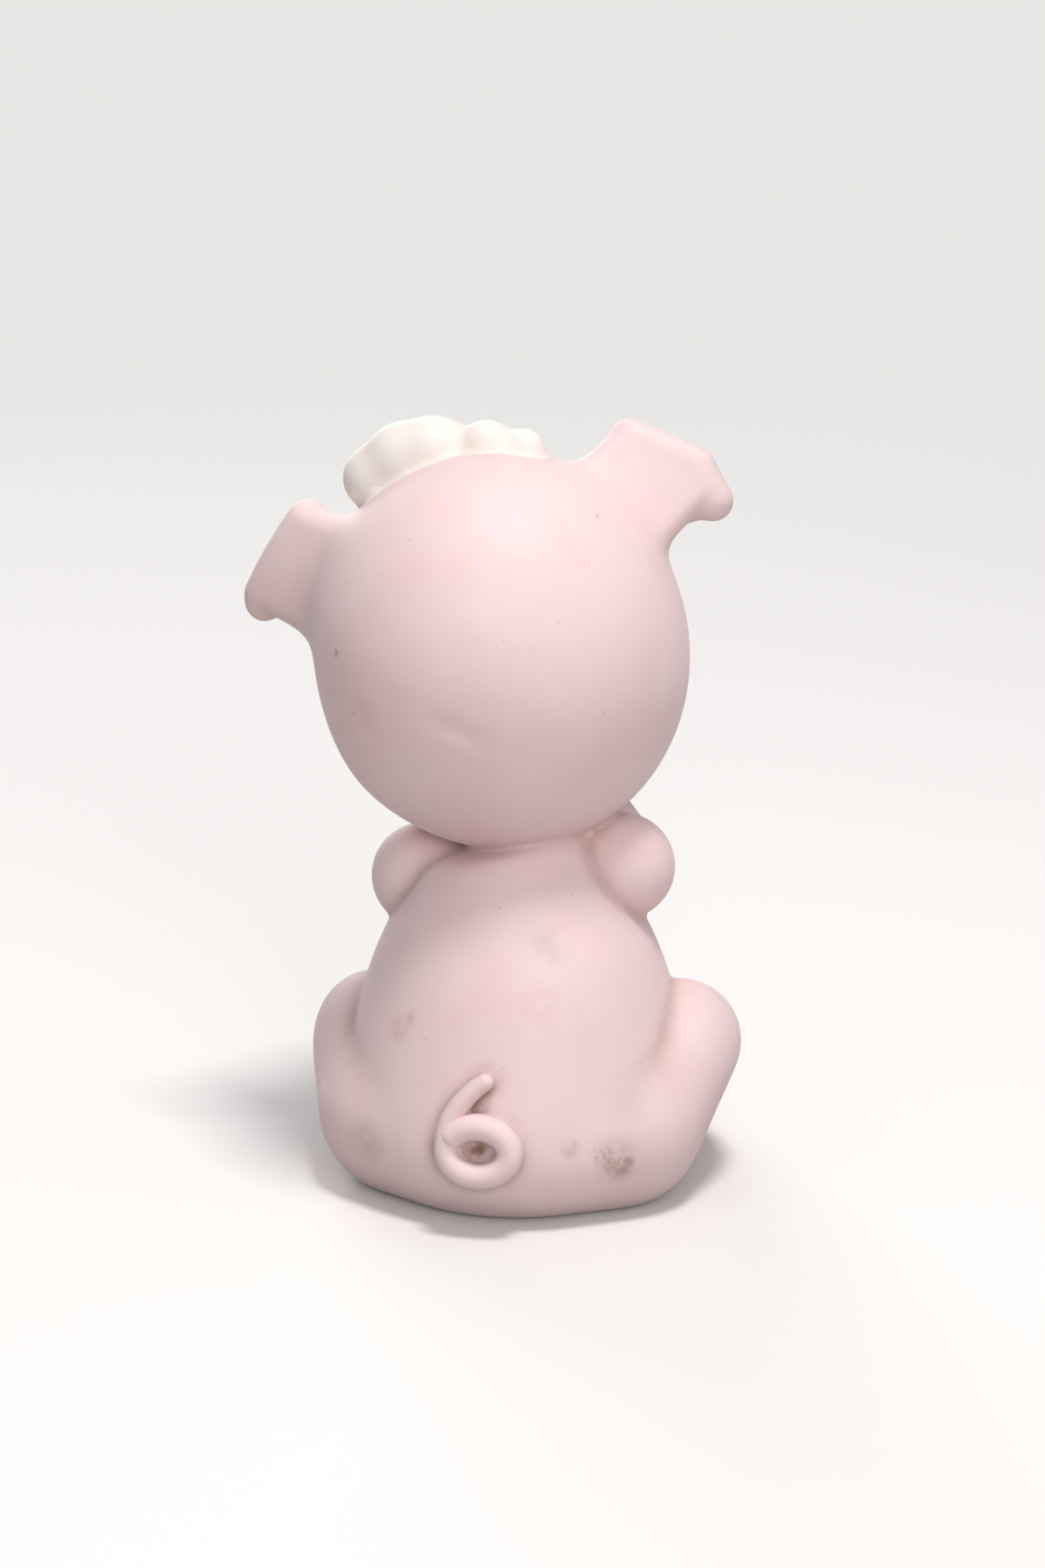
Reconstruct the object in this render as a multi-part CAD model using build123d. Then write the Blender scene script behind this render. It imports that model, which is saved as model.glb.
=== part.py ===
from build123d import *

import os
from math import cos, radians, sin, sqrt

# Seated piglet figurine of unglazed porcelain, in millimetres.
# +Z is up, the piglet faces -Y and its left side is +X.
# The origin is the centre of the flat foot that it rests on.

# Clay and cutting
wall = 3.0
overrun = 1.0

# Body: a hollow pear that stands on its flat foot
foot_radius = 15.5
belly_radius = 20.4
neck_radius = 9.5
neck_height = 41.6
haunch_shares = (0.902, 0.058)
belly_shares = (1.0, 0.226)
waist_shares = (0.877, 0.502)
chest_shares = (0.716, 0.726)
foot_vent_radius = 4.0
foot_vent_back = 7.0
neck_vent_radius = 3.0

# Head: a hollow egg that leans towards the piglet's left
head_radius = 20.9
head_half_height = 22.5
head_side = 2.5
head_forward = 3.0
head_seat_depth = 3.7
head_lean_angle = 15.0
egg_quarter_steps = 5

# Ears: a flap of clay with a rolled rim, its tip folded down in front
ear_root_shares = (0.725, -0.02, 0.474)
ear_skew = 1.6
ear_rise_angle = 31.0
ear_sweep_angle = 27.0
ear_width = 16.1
ear_reach_top = 10.7
ear_reach_low = 13.4
ear_root_depth = 6.0
ear_rim_radius = 1.9
ear_tip_rim_radius = 1.6
ear_web_share = 0.75
ear_tip_length = 10.5
ear_tip_opening_angle = 32.0

# Forelock: five plump locks that lie from the crown to the forehead
lock_radius = 4.0
lock_forward_shares = (0.10, 0.36, 0.60, 0.80)
lock_taper_shares = (1.0, 1.0, 0.86, 0.5)
lock_side_shares = (0.40, 0.27, 0.09, -0.18, -0.37)
lock_tip_side_shares = (0.50, 0.34, 0.16, -0.02, -0.15)
lock_radius_shares = (0.93, 1.0, 0.97, 0.78, 0.58)
lock_lift_shares = (0.62, 0.42, 0.20, 0.02, 0.10)

# Snout and eyes
snout_half_width = 6.4
snout_half_height = 5.0
snout_length = 4.5
snout_drop = 3.5
snout_round = 1.6
nostril_radius = 1.1
nostril_spread = 2.3
eye_radius = 1.6
eye_side_share = 0.36
eye_rise_share = 0.20

# Arms: shoulder, elbow and wrist, with the trotters held under the chin
shoulder_radius = 6.0
elbow_radius = 4.9
wrist_radius = 3.7
shoulder_side = 11.4
shoulder_forward = 2.4
shoulder_drop = 6.5
shoulder_slope = 1.2
elbow_side = 10.2
elbow_forward = 11.5
elbow_drop = 9.0
wrist_side = 6.6
wrist_forward = 16.5
wrist_drop = 3.0
front_trotter_radius = 3.9
front_trotter_length = 3.2
front_trotter_turn_angle = 35.0
front_trotter_rise_angle = 55.0

# Legs: hip, knee and ankle, with the trotters flat on the ground
hip_radius = 9.7
knee_radius = 7.0
ankle_radius = 4.4
hip_side = 12.2
hip_back = 4.8
hip_height = 8.8
knee_side = 17.7
knee_forward = 5.5
knee_height = 14.6
knee_slope = 0.6
ankle_side = 14.4
ankle_forward = 17.0
ankle_height = 4.6
rear_trotter_radius = 4.9
rear_trotter_length = 4.2
rear_trotter_turn_angle = 12.0

# Both pairs of trotters taper to a cleft end
toe_share = 0.86
cleft_width = 0.9
cleft_depth = 2.6

# Tail: one thin roll of clay, coiled like a figure six on the back of the body
tail_radius = 1.4
tail_tip_radius = 0.7
tail_loop_half_width = 3.6
tail_loop_half_height = 3.0
tail_height = 9.8
tail_stroke_height = 8.9
tail_seat_share = 0.7
tail_inner_angle = 125.0
tail_step_angle = 25.0
tail_height_halvings = 24
tail_stroke_shares = ((-0.97, 0.22), (-0.84, 0.40), (-0.60, 0.58), (-0.32, 0.74), (0.0, 0.89), (0.24, 1.0))


def tapered_roll(start, start_radius, end, end_radius):
    """A round-ended roll of clay from one point to another."""
    axis = Vector(*end) - Vector(*start)
    slant = (start_radius - end_radius) / axis.length
    rise = sqrt(1 - slant * slant)
    near = (start_radius * rise, start_radius * slant)
    far = (end_radius * rise, axis.length + end_radius * slant)
    half = (1 - slant) / 2
    near_bulge = (start_radius * sqrt(half), -start_radius * sqrt(1 - half))
    half = (1 + slant) / 2
    far_bulge = (end_radius * sqrt(half), axis.length + end_radius * sqrt(1 - half))
    base = (0, -start_radius)
    crown = (0, axis.length + end_radius)
    outline = Curve() + [
        ThreePointArc(base, near_bulge, near),
        Line(near, far),
        ThreePointArc(far, far_bulge, crown),
        Line(crown, base),
    ]
    roll = revolve(Plane.XZ * make_face(outline), Axis.Z)
    return Plane(origin=start, z_dir=axis) * roll


def jointed_roll(points, radii):
    """A limb or a lock: rolls that run from point to point."""
    limb = tapered_roll(points[0], radii[0], points[1], radii[1])
    for index in range(1, len(points) - 1):
        limb += tapered_roll(points[index], radii[index], points[index + 1], radii[index + 1])
    return limb


def egg(radius, half_height):
    """An egg of revolution about its own upright axis."""
    steps = 2 * egg_quarter_steps
    angles = [radians(90 * step / egg_quarter_steps - 90) for step in range(1, steps)]
    points = [(radius * cos(angle), half_height * sin(angle)) for angle in angles]
    bottom = (0, -half_height)
    top = (0, half_height)
    side = Spline(bottom, *points, top, tangents=[(1, 0), (-1, 0)])
    outline = Curve() + [side, Line(top, bottom)]
    return revolve(Plane.XZ * make_face(outline), Axis.Z)


# Head frame: local X is the piglet's left, local -Y its front, local Z the top of the head.
lean = radians(head_lean_angle)
head_height = neck_height - head_seat_depth + head_half_height
head_frame = Plane(
    origin=(head_side, -head_forward, head_height),
    x_dir=(cos(lean), 0, -sin(lean)),
    z_dir=(sin(lean), 0, cos(lean)),
)


def head_place(side, forward, up):
    """A place given from the centre of the head."""
    return head_frame.from_local_coords(Vector(side, -forward, up))


def skull_place(side_share, forward_share, lift=0):
    """A place on the upper skull, or lifted off it along its outward direction."""
    up_share = sqrt(1 - side_share * side_share - forward_share * forward_share)
    outward = Vector(side_share / head_radius, -forward_share / head_radius, up_share / head_half_height)
    spot = Vector(side_share * head_radius, -forward_share * head_radius, up_share * head_half_height)
    return head_frame.from_local_coords(spot + outward.normalized() * lift)


def face_place(side_share, up_share):
    """A place on the front of the head."""
    forward_share = sqrt(1 - side_share * side_share - up_share * up_share)
    return head_place(side_share * head_radius, forward_share * head_radius, up_share * head_half_height)


def pear_side(inset):
    """The side of the body, from the foot up to the neck."""
    points = [(foot_radius - inset, inset)]
    for radius_share, height_share in (haunch_shares, belly_shares, waist_shares, chest_shares):
        lift = inset * max(0, 1 - height_share / belly_shares[1])
        points.append((radius_share * belly_radius - inset, height_share * neck_height + lift))
    points.append((neck_radius - inset, neck_height))
    return Spline(*points)


def pear(inset):
    """The body's outer form, or its cavity where it is inset by the wall."""
    side = pear_side(inset)
    base = Line((0, inset), side @ 0)
    top = Line(side @ 1, (0, neck_height))
    axis = Line((0, neck_height), (0, inset))
    return revolve(Plane.XZ * make_face(Curve() + [base, side, top, axis]), Axis.Z)


head_form = head_frame * egg(head_radius, head_half_height)
body_form = pear(0) - head_form
ground_depth = hip_radius + rear_trotter_radius
ground = Pos(0, 0, -ground_depth) * Cylinder(
    belly_radius + ankle_forward + hip_radius + rear_trotter_length,
    ground_depth,
    align=(Align.CENTER, Align.CENTER, Align.MIN),
)
neck_vent = head_frame * Cylinder(
    neck_vent_radius,
    head_half_height + 2 * wall,
    align=(Align.CENTER, Align.CENTER, Align.MAX),
)


def build_body_shell():
    """Slip-cast body: a pear with a cupped seat for the head and a vent in its foot."""
    seat = head_frame * egg(head_radius + wall, head_half_height + wall)
    cavity = pear(wall) - seat
    foot_vent = Pos(0, foot_vent_back, -overrun) * Cylinder(
        foot_vent_radius,
        wall + 2 * overrun,
        align=(Align.CENTER, Align.CENTER, Align.MIN),
    )
    return body_form - cavity - foot_vent - neck_vent


def build_head_shell():
    """Slip-cast head: a hollow egg, vented into the body through the neck."""
    cavity = head_frame * egg(head_radius - wall, head_half_height - wall)
    return head_form - cavity - neck_vent


def rimmed_flap(corners, rim_radius):
    """A flap of clay with a rolled rim from its first corner to its last."""
    web_face = make_face(Polyline(*corners, close=True))
    web = extrude(web_face, rim_radius * ear_web_share, both=True)
    rim = jointed_roll(corners, [rim_radius] * len(corners))
    return web + rim


def ear_form():
    """An ear in its own frame: it reaches along X, is wide along Y and faces Z, with its tip folded down."""
    half = ear_width / 2 - ear_rim_radius
    fold_low = Vector(ear_reach_low - ear_rim_radius, -half, 0)
    fold_top = Vector(ear_reach_top - ear_rim_radius, half, 0)
    corners = [Vector(-ear_root_depth, -half, 0), fold_low, fold_top, Vector(-ear_root_depth, half, 0)]
    blade = rimmed_flap(corners, ear_rim_radius)
    front = Vector(0, 0, 1)
    inward = front.cross(fold_top - fold_low).normalized()
    opening = radians(ear_tip_opening_angle)
    tip = (fold_low + fold_top) / 2 + (inward * cos(opening) + front * sin(opening)) * ear_tip_length
    return blade + rimmed_flap([fold_low, tip, fold_top], ear_tip_rim_radius)


def build_ear(hand):
    """An ear set in its side of the head and swept forward."""
    rise = radians(ear_rise_angle)
    sweep = radians(ear_sweep_angle)
    side_share, forward_share, up_share = ear_root_shares
    root = Vector(
        side_share * head_radius,
        -forward_share * head_radius + hand * ear_skew,
        up_share * head_half_height,
    )
    along = Vector(cos(rise) * cos(sweep), -sin(sweep), sin(rise) * cos(sweep))
    across = Vector(-sin(rise), 0, cos(rise))
    ear = Plane(origin=root, x_dir=along, z_dir=along.cross(across)) * ear_form()
    if hand < 0:
        ear = mirror(ear, about=Plane.YZ)
    return head_frame * ear - head_form


def build_locks(ears):
    """The forelock: each lock lies against the skull, the ears and the lock before it."""
    forms = []
    locks = []
    rows = zip(lock_side_shares, lock_tip_side_shares, lock_radius_shares, lock_lift_shares)
    for side_share, tip_side_share, radius_share, lift_share in rows:
        points = []
        radii = []
        for forward_share, taper_share in zip(lock_forward_shares, lock_taper_shares):
            radius = lock_radius * radius_share * taper_share
            gone_share = (forward_share - lock_forward_shares[0]) / (lock_forward_shares[-1] - lock_forward_shares[0])
            across_share = side_share + (tip_side_share - side_share) * gone_share
            points.append(skull_place(across_share, forward_share, radius * lift_share))
            radii.append(radius)
        form = jointed_roll(points, radii)
        lock = form - head_form
        for neighbour in ears + forms:
            lock -= neighbour
        forms.append(form)
        locks.append(lock)
    return locks


def build_snout():
    """The snout: a short oval barrel with two nostrils pressed in."""
    length = head_radius + snout_length
    barrel = extrude(Ellipse(snout_half_width, snout_half_height), length)
    barrel = fillet(barrel.faces().sort_by(Axis.Z)[-1].edges(), snout_round)
    for hand in (1, -1):
        barrel -= Pos(hand * nostril_spread, 0, length) * Sphere(nostril_radius)
    frame = Plane(origin=(0, 0, -snout_drop), x_dir=(1, 0, 0), z_dir=(0, -1, 0))
    return head_frame * (frame * barrel) - head_form


def build_eye(hand):
    """A glazed bead of black clay on the face."""
    return Pos(*face_place(hand * eye_side_share, eye_rise_share)) * Sphere(eye_radius) - head_form


def trotter_form(start, heading, radius, length):
    """A blunt trotter with a cleft between its two toes."""
    heading = heading.normalized()
    toe = start + heading * length
    toe_radius = radius * toe_share
    form = tapered_roll(start, radius, toe, toe_radius)
    notch = Box(cleft_width, 4 * radius, 2 * cleft_depth)
    side = Vector(0, 0, 1).cross(heading).normalized()
    notch_frame = Plane(origin=toe + heading * toe_radius, x_dir=side, z_dir=heading)
    return form - notch_frame * notch


def arm_places(hand):
    """Shoulder, elbow and wrist; the piglet's right shoulder is the higher one."""
    neck = neck_height - hand * shoulder_slope
    return [
        Vector(hand * shoulder_side, -shoulder_forward, neck - shoulder_drop),
        Vector(hand * elbow_side, -elbow_forward, neck - elbow_drop),
        Vector(hand * wrist_side, -wrist_forward, neck - wrist_drop),
    ]


def arm_form(hand):
    return jointed_roll(arm_places(hand), [shoulder_radius, elbow_radius, wrist_radius])


def build_arm(hand):
    """An arm, from the shoulder to the wrist."""
    return arm_form(hand) - body_form - head_form


def build_front_trotter(hand):
    """A front trotter at the end of its arm."""
    turn = radians(front_trotter_turn_angle)
    rise = radians(front_trotter_rise_angle)
    heading = Vector(-hand * sin(turn) * cos(rise), -cos(turn) * cos(rise), sin(rise))
    form = trotter_form(arm_places(hand)[2], heading, front_trotter_radius, front_trotter_length)
    return form - arm_form(hand) - head_form


def leg_places(hand):
    """Hip, knee and ankle."""
    return [
        Vector(hand * hip_side, hip_back, hip_height),
        Vector(hand * knee_side, -knee_forward, knee_height - hand * knee_slope),
        Vector(hand * ankle_side, -ankle_forward, ankle_height),
    ]


def leg_form(hand):
    return jointed_roll(leg_places(hand), [hip_radius, knee_radius, ankle_radius])


def build_leg(hand):
    """A leg, from the hip over the raised knee to the ankle."""
    return leg_form(hand) - pear(0) - ground


def build_rear_trotter(hand):
    """A rear trotter that rests on the ground in front."""
    turn = radians(rear_trotter_turn_angle)
    heading = Vector(-hand * sin(turn), -cos(turn), 0)
    form = trotter_form(leg_places(hand)[2], heading, rear_trotter_radius, rear_trotter_length)
    return form - leg_form(hand) - pear(0) - ground


def body_radius_at(height):
    """The radius of the body's outer form at a height."""
    side = pear_side(0)
    low = 0.0
    high = 1.0
    for _ in range(tail_height_halvings):
        middle = (low + high) / 2
        if (side @ middle).Y < height:
            low = middle
        else:
            high = middle
    return (side @ low).X


def tail_place(across, up):
    """A place on the middle line of the tail, laid on the back of the body."""
    height = tail_height + up
    reach = body_radius_at(height) + tail_seat_share * tail_radius
    return Vector(-across, sqrt(reach * reach - across * across), height)


def build_tail():
    """The tail: a thin roll laid in a loop on the back, with its tip turned up."""
    points = []
    radii = []
    steps = round((tail_inner_angle + 180) / tail_step_angle)
    for step in range(steps + 1):
        angle = radians(tail_inner_angle - step * (tail_inner_angle + 180) / steps)
        points.append(tail_place(tail_loop_half_width * cos(angle), tail_loop_half_height * sin(angle)))
        radii.append(tail_radius)
    for across_share, up_share in tail_stroke_shares:
        points.append(tail_place(across_share * tail_loop_half_width, up_share * tail_stroke_height))
        radii.append(tail_radius + (tail_tip_radius - tail_radius) * up_share)
    return jointed_roll(points, radii) - body_form


parts = {
    "body_shell": build_body_shell(),
    "head_shell": build_head_shell(),
    "snout": build_snout(),
    "tail": build_tail(),
}
for hand, side_name in ((1, "left"), (-1, "right")):
    parts["ear_" + side_name] = build_ear(hand)
    parts["eye_" + side_name] = build_eye(hand)
    parts["arm_" + side_name] = build_arm(hand)
    parts["front_trotter_" + side_name] = build_front_trotter(hand)
    parts["leg_" + side_name] = build_leg(hand)
    parts["rear_trotter_" + side_name] = build_rear_trotter(hand)
ears = [parts["ear_left"], parts["ear_right"]]
for number, lock in enumerate(build_locks(ears), start=1):
    parts[f"hair_lock_{number}"] = lock

os.makedirs("parts", exist_ok=True)
for name, shape in parts.items():
    export_step(shape, f"parts/{name}.step")
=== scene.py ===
import math

import bpy
import numpy as np
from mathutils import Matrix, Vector


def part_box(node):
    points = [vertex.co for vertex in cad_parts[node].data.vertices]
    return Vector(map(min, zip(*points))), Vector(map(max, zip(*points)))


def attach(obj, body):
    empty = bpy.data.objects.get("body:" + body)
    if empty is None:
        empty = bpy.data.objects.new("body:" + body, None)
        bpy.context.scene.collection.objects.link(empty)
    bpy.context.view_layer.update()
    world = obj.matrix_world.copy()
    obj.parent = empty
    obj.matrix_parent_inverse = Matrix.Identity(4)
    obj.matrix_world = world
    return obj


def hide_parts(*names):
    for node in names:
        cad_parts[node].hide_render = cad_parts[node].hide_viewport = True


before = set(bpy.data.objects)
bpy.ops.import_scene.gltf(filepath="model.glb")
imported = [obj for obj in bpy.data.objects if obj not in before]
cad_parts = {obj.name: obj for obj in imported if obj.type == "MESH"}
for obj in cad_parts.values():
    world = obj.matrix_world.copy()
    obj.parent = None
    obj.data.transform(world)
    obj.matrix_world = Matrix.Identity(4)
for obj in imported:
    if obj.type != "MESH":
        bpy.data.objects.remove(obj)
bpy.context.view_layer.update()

# Camera
# The piglet is seen from behind, from a little above and a little to its right.
# Lengths here and below are in millimetres; what Blender is given is in metres.
metres = 0.001
view_azimuth = math.radians(192.0)
view_elevation = math.radians(14.7)
view_distance = 430.0
view_target_across = 0.5
view_target_up = 44.3
lens_length = 86.0
film_height = 36.0
picture_width = 1200.0
picture_height = 1800.0
sight_steps = 80
sight_share = 0.9

view_right = np.array([math.cos(view_azimuth), math.sin(view_azimuth), 0.0])
view_up = np.array([
    -math.sin(view_azimuth) * math.sin(view_elevation),
    math.cos(view_azimuth) * math.sin(view_elevation),
    math.cos(view_elevation),
])
view_back = np.cross(view_right, view_up)
view_place = view_target_across * view_right + view_target_up * view_up + view_distance * view_back

camera_data = bpy.data.cameras.new("camera")
camera_data.lens = lens_length
camera_data.sensor_fit = "VERTICAL"
camera_data.sensor_height = film_height
camera = bpy.data.objects.new("camera", camera_data)
camera.location = Vector(view_place * metres)
camera.rotation_euler = Vector(view_back).to_track_quat("Z", "Y").to_euler()
bpy.context.scene.collection.objects.link(camera)
bpy.context.scene.camera = camera
bpy.context.scene.view_settings.view_transform = "Standard"


def seen_place(pixel, distance):
    """The place on a surface that a pixel of the photograph shows."""
    film = film_height / picture_height
    heading = (
        view_right * (pixel[0] - picture_width / 2) * film
        + view_up * (picture_height / 2 - pixel[1]) * film
        - view_back * lens_length
    )
    heading /= np.linalg.norm(heading)
    place = view_place + heading * view_distance / 2
    for _ in range(sight_steps):
        place = place + heading * sight_share * distance(place[None])[0]
    return place


# Head
# A hollow slip-cast egg of pale pink bisque, leaning towards the piglet's left.
# Where the mould's halves were fettled the wet clay kept a few soft dents.
head_radius = 20.9
head_half_height = 22.5
head_semi_axes = np.array([head_radius, head_radius, head_half_height])
head_centre = np.array([2.5, -3.0, 60.4])
head_lean = math.radians(15.0)
head_left = np.array([math.cos(head_lean), 0.0, -math.sin(head_lean)])
head_top = np.array([math.sin(head_lean), 0.0, math.cos(head_lean)])
wall = 3.0
cast_edge = 0.4
neck_vent_radius = 3.0
neck_vent_half_length = 9.0
tiny = 1e-9


def in_head(p):
    """Places from the centre of the head: its left, its front and its top."""
    q = p - head_centre
    return np.stack([q @ head_left, -q[:, 1], q @ head_top], axis=1)


def egg_distance(p, inset=0.0):
    """How far places lie outside the egg, or its cavity where it is inset."""
    q = in_head(p)
    semi_axes = head_semi_axes - inset
    near = np.linalg.norm(q / semi_axes, axis=1) + tiny
    steep = np.linalg.norm(q / semi_axes ** 2, axis=1) + tiny
    return near * (near - 1) / steep


def bump(p, centre, spread, height):
    """A soft bump of clay, or a dent where its height is negative."""
    return height * np.exp(-np.sum((p - centre) ** 2, axis=1) / spread ** 2)


# Each swelling or dent by the pixel of the photograph where it is seen: its spread and its height
head_dents = [
    ((420, 890), 7.5, 0.7),
    ((480, 850), 3.0, 0.12),
    ((500, 834), 1.2, -0.10),
    ((512, 836), 1.2, -0.13),
    ((524, 841), 1.2, -0.15),
    ((535, 847), 1.2, -0.13),
    ((545, 854), 1.2, -0.10),
    ((508, 845), 1.2, 0.07),
    ((521, 851), 1.2, 0.09),
    ((533, 858), 1.2, 0.07),
    ((545, 718), 2.0, 0.08),
    ((640, 905), 5.0, -0.15),
]
head_dent_places = [(seen_place(pixel, egg_distance), *rest) for pixel, *rest in head_dents]


def head_distance(p):
    """How far places lie outside the egg with its dents."""
    distance = egg_distance(p)
    for place, spread, height in head_dent_places:
        distance = distance - bump(p, place, spread, height)
    return distance


def soft_min(a, b, fillet):
    """Two forms joined with a fillet of slip."""
    near = np.maximum(fillet - np.abs(a - b), 0.0) / fillet
    return np.minimum(a, b) - near ** 3 * fillet / 6


def soft_max(a, b, fillet):
    """The clay that two forms share, with its edge softened."""
    return -soft_min(-a, -b, fillet)


def slope_of(distance, p, step=0.02):
    """The outward direction of a form at places near its surface."""
    slope = np.empty_like(p)
    for axis in range(3):
        shift = np.zeros(3)
        shift[axis] = step
        slope[:, axis] = (distance(p + shift) - distance(p - shift)) / (2 * step)
    return slope


def net_over(distance, low, high, cell):
    """A closed net of four-sided faces over the surface where a distance is nought."""
    lines = [np.arange(low[axis], high[axis] + 2 * cell, cell) for axis in range(3)]
    grid = np.stack(np.meshgrid(*lines, indexing="ij"), axis=-1)
    shape = np.array(grid.shape[:3])
    value = distance(grid.reshape(-1, 3)).reshape(shape)
    # The net is closed where a form reaches the border of the grid.
    for axis in range(3):
        for end in (0, -1):
            border = np.moveaxis(value, axis, 0)[end]
            np.maximum(border, cell, out=border)
    total = np.zeros((*(shape - 1), 3))
    count = np.zeros(shape - 1)
    crossings = []
    for axis in range(3):
        first = [slice(None)] * 3
        second = [slice(None)] * 3
        first[axis] = slice(None, -1)
        second[axis] = slice(1, None)
        a, b = value[tuple(first)], value[tuple(second)]
        crossed = (a < 0) != (b < 0)
        at = np.argwhere(crossed)
        share = a[crossed] / (a[crossed] - b[crossed])
        place = grid[tuple(first)][crossed]
        place[:, axis] += share * cell
        others = [other for other in range(3) if other != axis]
        for back_one in (0, 1):
            for back_two in (0, 1):
                owner = at.copy()
                owner[:, others[0]] -= back_one
                owner[:, others[1]] -= back_two
                np.add.at(total, tuple(owner.T), place)
                np.add.at(count, tuple(owner.T), 1)
        crossings.append((axis, at, a[crossed] < 0))
    used = count > 0
    number = np.full(shape - 1, -1)
    number[used] = np.arange(used.sum())
    points = total[used] / count[used][:, None]
    faces = []
    for axis, at, outward in crossings:
        one, two = [(axis + 1) % 3, (axis + 2) % 3]
        ring = []
        for back_one, back_two in ((1, 1), (0, 1), (0, 0), (1, 0)):
            owner = at.copy()
            owner[:, one] -= back_one
            owner[:, two] -= back_two
            ring.append(number[tuple(owner.T)])
        ring = np.stack(ring, axis=1)
        ring[~outward] = ring[~outward][:, ::-1]
        faces.append(ring)
    return points, np.concatenate(faces)


def settle(points, faces, distance, cell, rounds=3):
    """Evens the net out in a few rounds and lays its points on the surface, twice more at the end."""
    edges = np.concatenate([faces[:, [side, (side + 1) % 4]] for side in range(4)])
    both = np.concatenate([edges, edges[:, ::-1]])
    share = np.bincount(both[:, 0], minlength=len(points))[:, None]
    for turn in range(rounds + 2):
        if turn < rounds:
            sums = [np.bincount(both[:, 0], points[both[:, 1], axis], len(points)) for axis in range(3)]
            middle = np.stack(sums, axis=1) / share
            points = points + 0.5 * (middle - points)
        slope = slope_of(distance, points)
        size = np.sum(slope ** 2, axis=1)[:, None] + 1e-6
        move = -distance(points)[:, None] * slope / size
        points = points + np.clip(move, -cell / 2, cell / 2)
    return points


pieces = {}


def fired_piece(name, distance, low, high, cell):
    """A piece of fired clay: a smooth closed mesh over a form."""
    border = 1.5 * cell
    points, faces = net_over(distance, low - border, high + border, cell)
    points = settle(points, faces, distance, cell)
    mesh = bpy.data.meshes.new(name)
    mesh.from_pydata((points * metres).tolist(), [], faces.tolist())
    mesh.polygons.foreach_set("use_smooth", np.ones(len(faces), dtype=bool))
    mesh.update()
    piece = bpy.data.objects.new(name, mesh)
    bpy.context.scene.collection.objects.link(piece)
    pieces[name] = piece
    return piece


def place_of(cad_node, margin):
    """The box that a node of the frame fills, with a margin, in millimetres."""
    low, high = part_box(cad_node)
    return np.array(low) / metres - margin, np.array(high) / metres + margin


def vent_distance(p):
    """The vent that joins the hollow head to the hollow body through the neck."""
    q = in_head(p)
    side = np.hypot(q[:, 0], q[:, 1]) - neck_vent_radius
    return np.maximum(side, np.abs(q[:, 2] + head_half_height) - neck_vent_half_length)


def head_form(p):
    """The hollow head, vented at the neck."""
    solid = soft_max(head_distance(p), -egg_distance(p, wall), cast_edge)
    return soft_max(solid, -vent_distance(p), cast_edge)


head = fired_piece("head", head_form, *place_of("head_shell", 1.5), cell=0.46)


# Bisque
# Unglazed porcelain, stained pale pink in the clay: matt and faintly powdery, mottled a little redder in
# places, with brown dirt low on the body and in a few spots from handling. The creases are painted darker:
# partly brown dirt, partly painted shade.
def srgb(red, green, blue):
    """A colour as a painter reads it, in the light that it reflects."""
    channels = []
    for channel in (red, green, blue):
        share = channel / 255
        channels.append(share / 12.92 if share <= 0.04045 else ((share + 0.055) / 1.055) ** 2.4)
    return (*channels, 1.0)


def node(tree, kind, inputs=(), **settings):
    """A node of a tree with its settings and its inputs, by their names or numbers."""
    made = tree.nodes.new(kind)
    for key, value in settings.items():
        setattr(made, key, value)
    for key, value in dict(inputs).items():
        if isinstance(value, bpy.types.NodeSocket):
            tree.links.new(value, made.inputs[key])
        else:
            made.inputs[key].default_value = value
    return made


def blend_colour(tree, share, under, over):
    """One colour laid over another by a share."""
    made = node(tree, "ShaderNodeMix", data_type="RGBA")
    for socket, value in ((made.inputs[0], share), (made.inputs[6], under), (made.inputs[7], over)):
        if isinstance(value, bpy.types.NodeSocket):
            tree.links.new(value, socket)
        else:
            socket.default_value = value
    return made.outputs[2]


def remap(tree, value, low, high, out_low=0.0, out_high=1.0):
    """A value eased from one range to another."""
    made = node(tree, "ShaderNodeMapRange", {0: value, 1: low, 2: high, 3: out_low, 4: out_high})
    made.interpolation_type = "SMOOTHSTEP"
    return made.outputs[0]


def calculate(tree, operation, a, b=0.0):
    """The result of a sum on one or two values."""
    made = node(tree, "ShaderNodeMath", {0: a, 1: b}, operation=operation)
    return made.outputs[0]


def patches(tree, where, size, detail, low, high, out_low=0.0, out_high=1.0):
    """Soft patches of a size in millimetres, between two levels of the noise."""
    scale = 1 / (size * metres)
    made = node(tree, "ShaderNodeTexNoise", {"Vector": where, "Scale": scale, "Detail": detail})
    return remap(tree, made.outputs["Fac"], low, high, out_low, out_high)


spot_full_share = 0.1


def spot(tree, where, centre, radius):
    """A round spot on the surface, full in the middle and gone at its radius."""
    made = node(tree, "ShaderNodeVectorMath", {0: where, 1: tuple(centre * metres)}, operation="DISTANCE")
    full_radius = spot_full_share * radius
    return remap(tree, made.outputs["Value"], full_radius * metres, radius * metres, 1.0, 0.0)


# A dirt brown, also laid as painted shade in the creases and in the tail's hollow.
dirt_and_shade_brown = srgb(122, 82, 62)
mottle_red = srgb(222, 170, 166)
fleck_strength = 0.22
crease_dirt_and_shade_strength = 0.45
speck_strength = 0.3
grain_scale = 3200.0
grain_depth = 0.06
grain_strength = 0.10


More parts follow.
